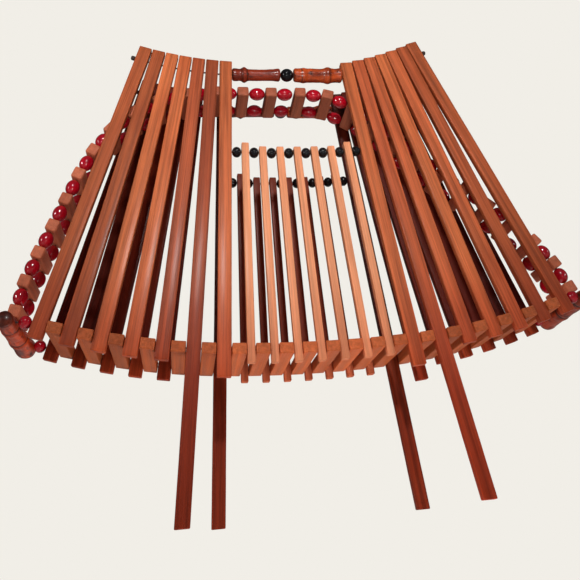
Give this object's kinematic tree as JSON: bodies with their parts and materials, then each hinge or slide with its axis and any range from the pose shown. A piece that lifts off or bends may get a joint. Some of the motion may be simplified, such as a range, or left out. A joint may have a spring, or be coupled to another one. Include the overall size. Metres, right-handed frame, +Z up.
{
  "type": "slatted bamboo and bead handbag",
  "caption": "Collapsible handbag of strung bamboo slats standing on four leg slats, with a strap of wooden blocks and red beads and bamboo-root handles.",
  "frame": {"origin": "on the floor under the middle of the bag, in the plane of the leg ends", "axes": "+Z up, +X to the right seen from the front, front panel on the -Y side, +Y to the back"},
  "size_m": [0.3208, 0.054, 0.2802],
  "materials": {
    "fan_slat": "varnished, satin",
    "slender_slat": "varnished, satin",
    "cross_slat": "varnished, satin",
    "bamboo_root": "varnished, gloss",
    "strap_block": "waxed, satin",
    "red_bead": "gloss",
    "black_bead": "gloss",
    "cord": "matte"
  },
  "bodies": {
    "base": {"base_cross_slats": "cross_slat", "corner_root_left": "bamboo_root", "corner_root_right": "bamboo_root", "base_cords": "cord", "base_end_beads": "red_bead"},
    "front_left_fan": {"front_left_slats": "fan_slat", "front_left_leg_slat": "fan_slat", "front_left_top_cord": "cord"},
    "front_right_fan": {"front_right_slats": "fan_slat", "front_right_leg_slat": "fan_slat", "front_right_top_cord": "cord"},
    "front_centre": {"front_centre_slats": "slender_slat", "front_spacer_beads": "black_bead", "front_spacer_cord": "cord"},
    "front_handle": {"front_handle_cord": "cord"},
    "front_handle_root_left": {"front_handle_root_left": "bamboo_root"},
    "front_handle_bead": {"front_handle_bead": "black_bead"},
    "front_handle_root_right": {"front_handle_root_right": "bamboo_root"},
    "back_left_fan": {"back_left_slats": "fan_slat", "back_left_leg_slat": "fan_slat", "back_left_top_cord": "cord"},
    "back_right_fan": {"back_right_slats": "fan_slat", "back_right_leg_slat": "fan_slat", "back_right_top_cord": "cord"},
    "back_centre": {"back_centre_slats": "slender_slat", "back_spacer_beads": "black_bead", "back_spacer_cord": "cord"},
    "back_handle": {"back_handle_cord": "cord"},
    "back_handle_root_left": {"back_handle_root_left": "bamboo_root"},
    "back_handle_bead": {"back_handle_bead": "black_bead"},
    "back_handle_root_right": {"back_handle_root_right": "bamboo_root"},
    "strap_left_1": {"strap_left_1_blocks": "strap_block", "strap_left_1_beads": "red_bead", "strap_left_1_cords": "cord"},
    "strap_left_2": {"strap_left_2_blocks": "strap_block", "strap_left_2_beads": "red_bead", "strap_left_2_cords": "cord"},
    "strap_left_3": {"strap_left_3_blocks": "strap_block", "strap_left_3_beads": "red_bead", "strap_left_3_cords": "cord"},
    "strap_left_4": {"strap_left_4_blocks": "strap_block", "strap_left_4_beads": "red_bead", "strap_left_4_cords": "cord"},
    "strap_right_1": {"strap_right_1_blocks": "strap_block", "strap_right_1_beads": "red_bead", "strap_right_1_cords": "cord"},
    "strap_right_2": {"strap_right_2_blocks": "strap_block", "strap_right_2_beads": "red_bead", "strap_right_2_cords": "cord"},
    "strap_right_3": {"strap_right_3_blocks": "strap_block", "strap_right_3_beads": "red_bead", "strap_right_3_cords": "cord"},
    "strap_right_4": {"strap_right_4_blocks": "strap_block", "strap_right_4_beads": "red_bead", "strap_right_4_cords": "cord"}
  },
  "joints": [
    {"name": "front_panel_open", "type": "hinge", "parent": "base", "child": "front_centre", "pos_m": [0, -0.0209, 0.08351], "axis": [1, 0, 0], "range_deg": [0, 20]},
    {"name": "front_left_fan_open", "type": "hinge", "parent": "base", "child": "front_left_fan", "pos_m": [-0.09463, -0.0209, 0.09119], "axis": [0.9814, 0, -0.1919], "range_deg": [0, 20]},
    {"name": "front_right_fan_open", "type": "hinge", "parent": "base", "child": "front_right_fan", "pos_m": [0.09463, -0.0209, 0.09119], "axis": [0.9814, 0, 0.1919], "range_deg": [0, 20]},
    {"name": "front_handle_swing", "type": "hinge", "parent": "base", "child": "front_handle", "pos_m": [0, -0.0209, 0.08251], "axis": [1, 0, 0], "range_deg": [0, 20]},
    {"name": "front_handle_left_root_spin", "type": "hinge", "parent": "front_handle", "child": "front_handle_root_left", "pos_m": [-0.01928, -0.01616, 0.25427], "axis": [1, 0, 0], "continuous": true},
    {"name": "front_handle_bead_spin", "type": "hinge", "parent": "front_handle", "child": "front_handle_bead", "pos_m": [-0.0006, -0.01616, 0.25427], "axis": [1, 0, 0], "continuous": true},
    {"name": "front_handle_right_root_spin", "type": "hinge", "parent": "front_handle", "child": "front_handle_root_right", "pos_m": [0.01845, -0.01616, 0.25427], "axis": [1, 0, 0], "continuous": true},
    {"name": "back_panel_open", "type": "hinge", "parent": "base", "child": "back_centre", "pos_m": [0, 0.0209, 0.08351], "axis": [-1, 0, 0], "range_deg": [0, 20]},
    {"name": "back_left_fan_open", "type": "hinge", "parent": "base", "child": "back_left_fan", "pos_m": [-0.09463, 0.0209, 0.09119], "axis": [-0.9814, 0, 0.1919], "range_deg": [0, 20]},
    {"name": "back_right_fan_open", "type": "hinge", "parent": "base", "child": "back_right_fan", "pos_m": [0.09463, 0.0209, 0.09119], "axis": [-0.9814, 0, -0.1919], "range_deg": [0, 20]},
    {"name": "back_handle_swing", "type": "hinge", "parent": "base", "child": "back_handle", "pos_m": [0, 0.0209, 0.08244], "axis": [-1, 0, 0], "range_deg": [0, 20]},
    {"name": "back_handle_left_root_spin", "type": "hinge", "parent": "back_handle", "child": "back_handle_root_left", "pos_m": [-0.01928, 0.01627, 0.25028], "axis": [1, 0, 0], "continuous": true},
    {"name": "back_handle_bead_spin", "type": "hinge", "parent": "back_handle", "child": "back_handle_bead", "pos_m": [-0.0006, 0.01627, 0.25028], "axis": [1, 0, 0], "continuous": true},
    {"name": "back_handle_right_root_spin", "type": "hinge", "parent": "back_handle", "child": "back_handle_root_right", "pos_m": [0.01845, 0.01627, 0.25028], "axis": [1, 0, 0], "continuous": true},
    {"name": "strap_lift", "type": "hinge", "parent": "base", "child": "strap_left_1", "pos_m": [-0.1546, 0, 0.1037], "axis": [0, 1, 0], "range_deg": [-8, 0]},
    {"name": "strap_left_bend_1", "type": "hinge", "parent": "strap_left_1", "child": "strap_left_2", "pos_m": [-0.13234, 0, 0.16845], "axis": [0, 1, 0], "range_deg": [-0.05, 12.74]},
    {"name": "strap_left_bend_2", "type": "hinge", "parent": "strap_left_2", "child": "strap_left_3", "pos_m": [-0.09834, 0, 0.22639], "axis": [0, 1, 0], "range_deg": [-0.05, 5.15]},
    {"name": "strap_left_bend_3", "type": "hinge", "parent": "strap_left_3", "child": "strap_left_4", "pos_m": [-0.05253, 0, 0.24564], "axis": [0, 1, 0], "range_deg": [-0.05, 1.59]},
    {"name": "strap_right_root_turn", "type": "hinge", "parent": "base", "child": "strap_right_1", "pos_m": [0.1546, 0, 0.1037], "axis": [0, 1, 0], "range_deg": [-0.05, 7.61]},
    {"name": "strap_right_bend_1", "type": "hinge", "parent": "strap_right_1", "child": "strap_right_2", "pos_m": [0.12002, 0, 0.1614], "axis": [0, 1, 0], "range_deg": [-14.76, 0.05]},
    {"name": "strap_right_bend_2", "type": "hinge", "parent": "strap_right_2", "child": "strap_right_3", "pos_m": [0.08232, 0, 0.1956], "axis": [0, 1, 0], "range_deg": [-0.05, 0.748]},
    {"name": "strap_right_bend_3", "type": "hinge", "parent": "strap_right_3", "child": "strap_right_4", "pos_m": [0.04622, 0, 0.23145], "axis": [0, 1, 0], "range_deg": [-9.19, 0.05]}
  ],
  "couplings": [
    {"joint": "front_left_fan_open", "follows": "front_panel_open", "ratio": 1},
    {"joint": "front_right_fan_open", "follows": "front_panel_open", "ratio": 1},
    {"joint": "front_handle_swing", "follows": "front_panel_open", "ratio": 1},
    {"joint": "back_left_fan_open", "follows": "back_panel_open", "ratio": 1},
    {"joint": "back_right_fan_open", "follows": "back_panel_open", "ratio": 1},
    {"joint": "back_handle_swing", "follows": "back_panel_open", "ratio": 1},
    {"joint": "strap_left_bend_1", "follows": "strap_lift", "ratio": -1.5863},
    {"joint": "strap_left_bend_2", "follows": "strap_lift", "ratio": -0.63773},
    {"joint": "strap_left_bend_3", "follows": "strap_lift", "ratio": -0.19215},
    {"joint": "strap_right_root_turn", "follows": "strap_lift", "ratio": -0.9447},
    {"joint": "strap_right_bend_1", "follows": "strap_lift", "ratio": 1.8383},
    {"joint": "strap_right_bend_2", "follows": "strap_lift", "ratio": -0.08725},
    {"joint": "strap_right_bend_3", "follows": "strap_lift", "ratio": 1.142}
  ]
}
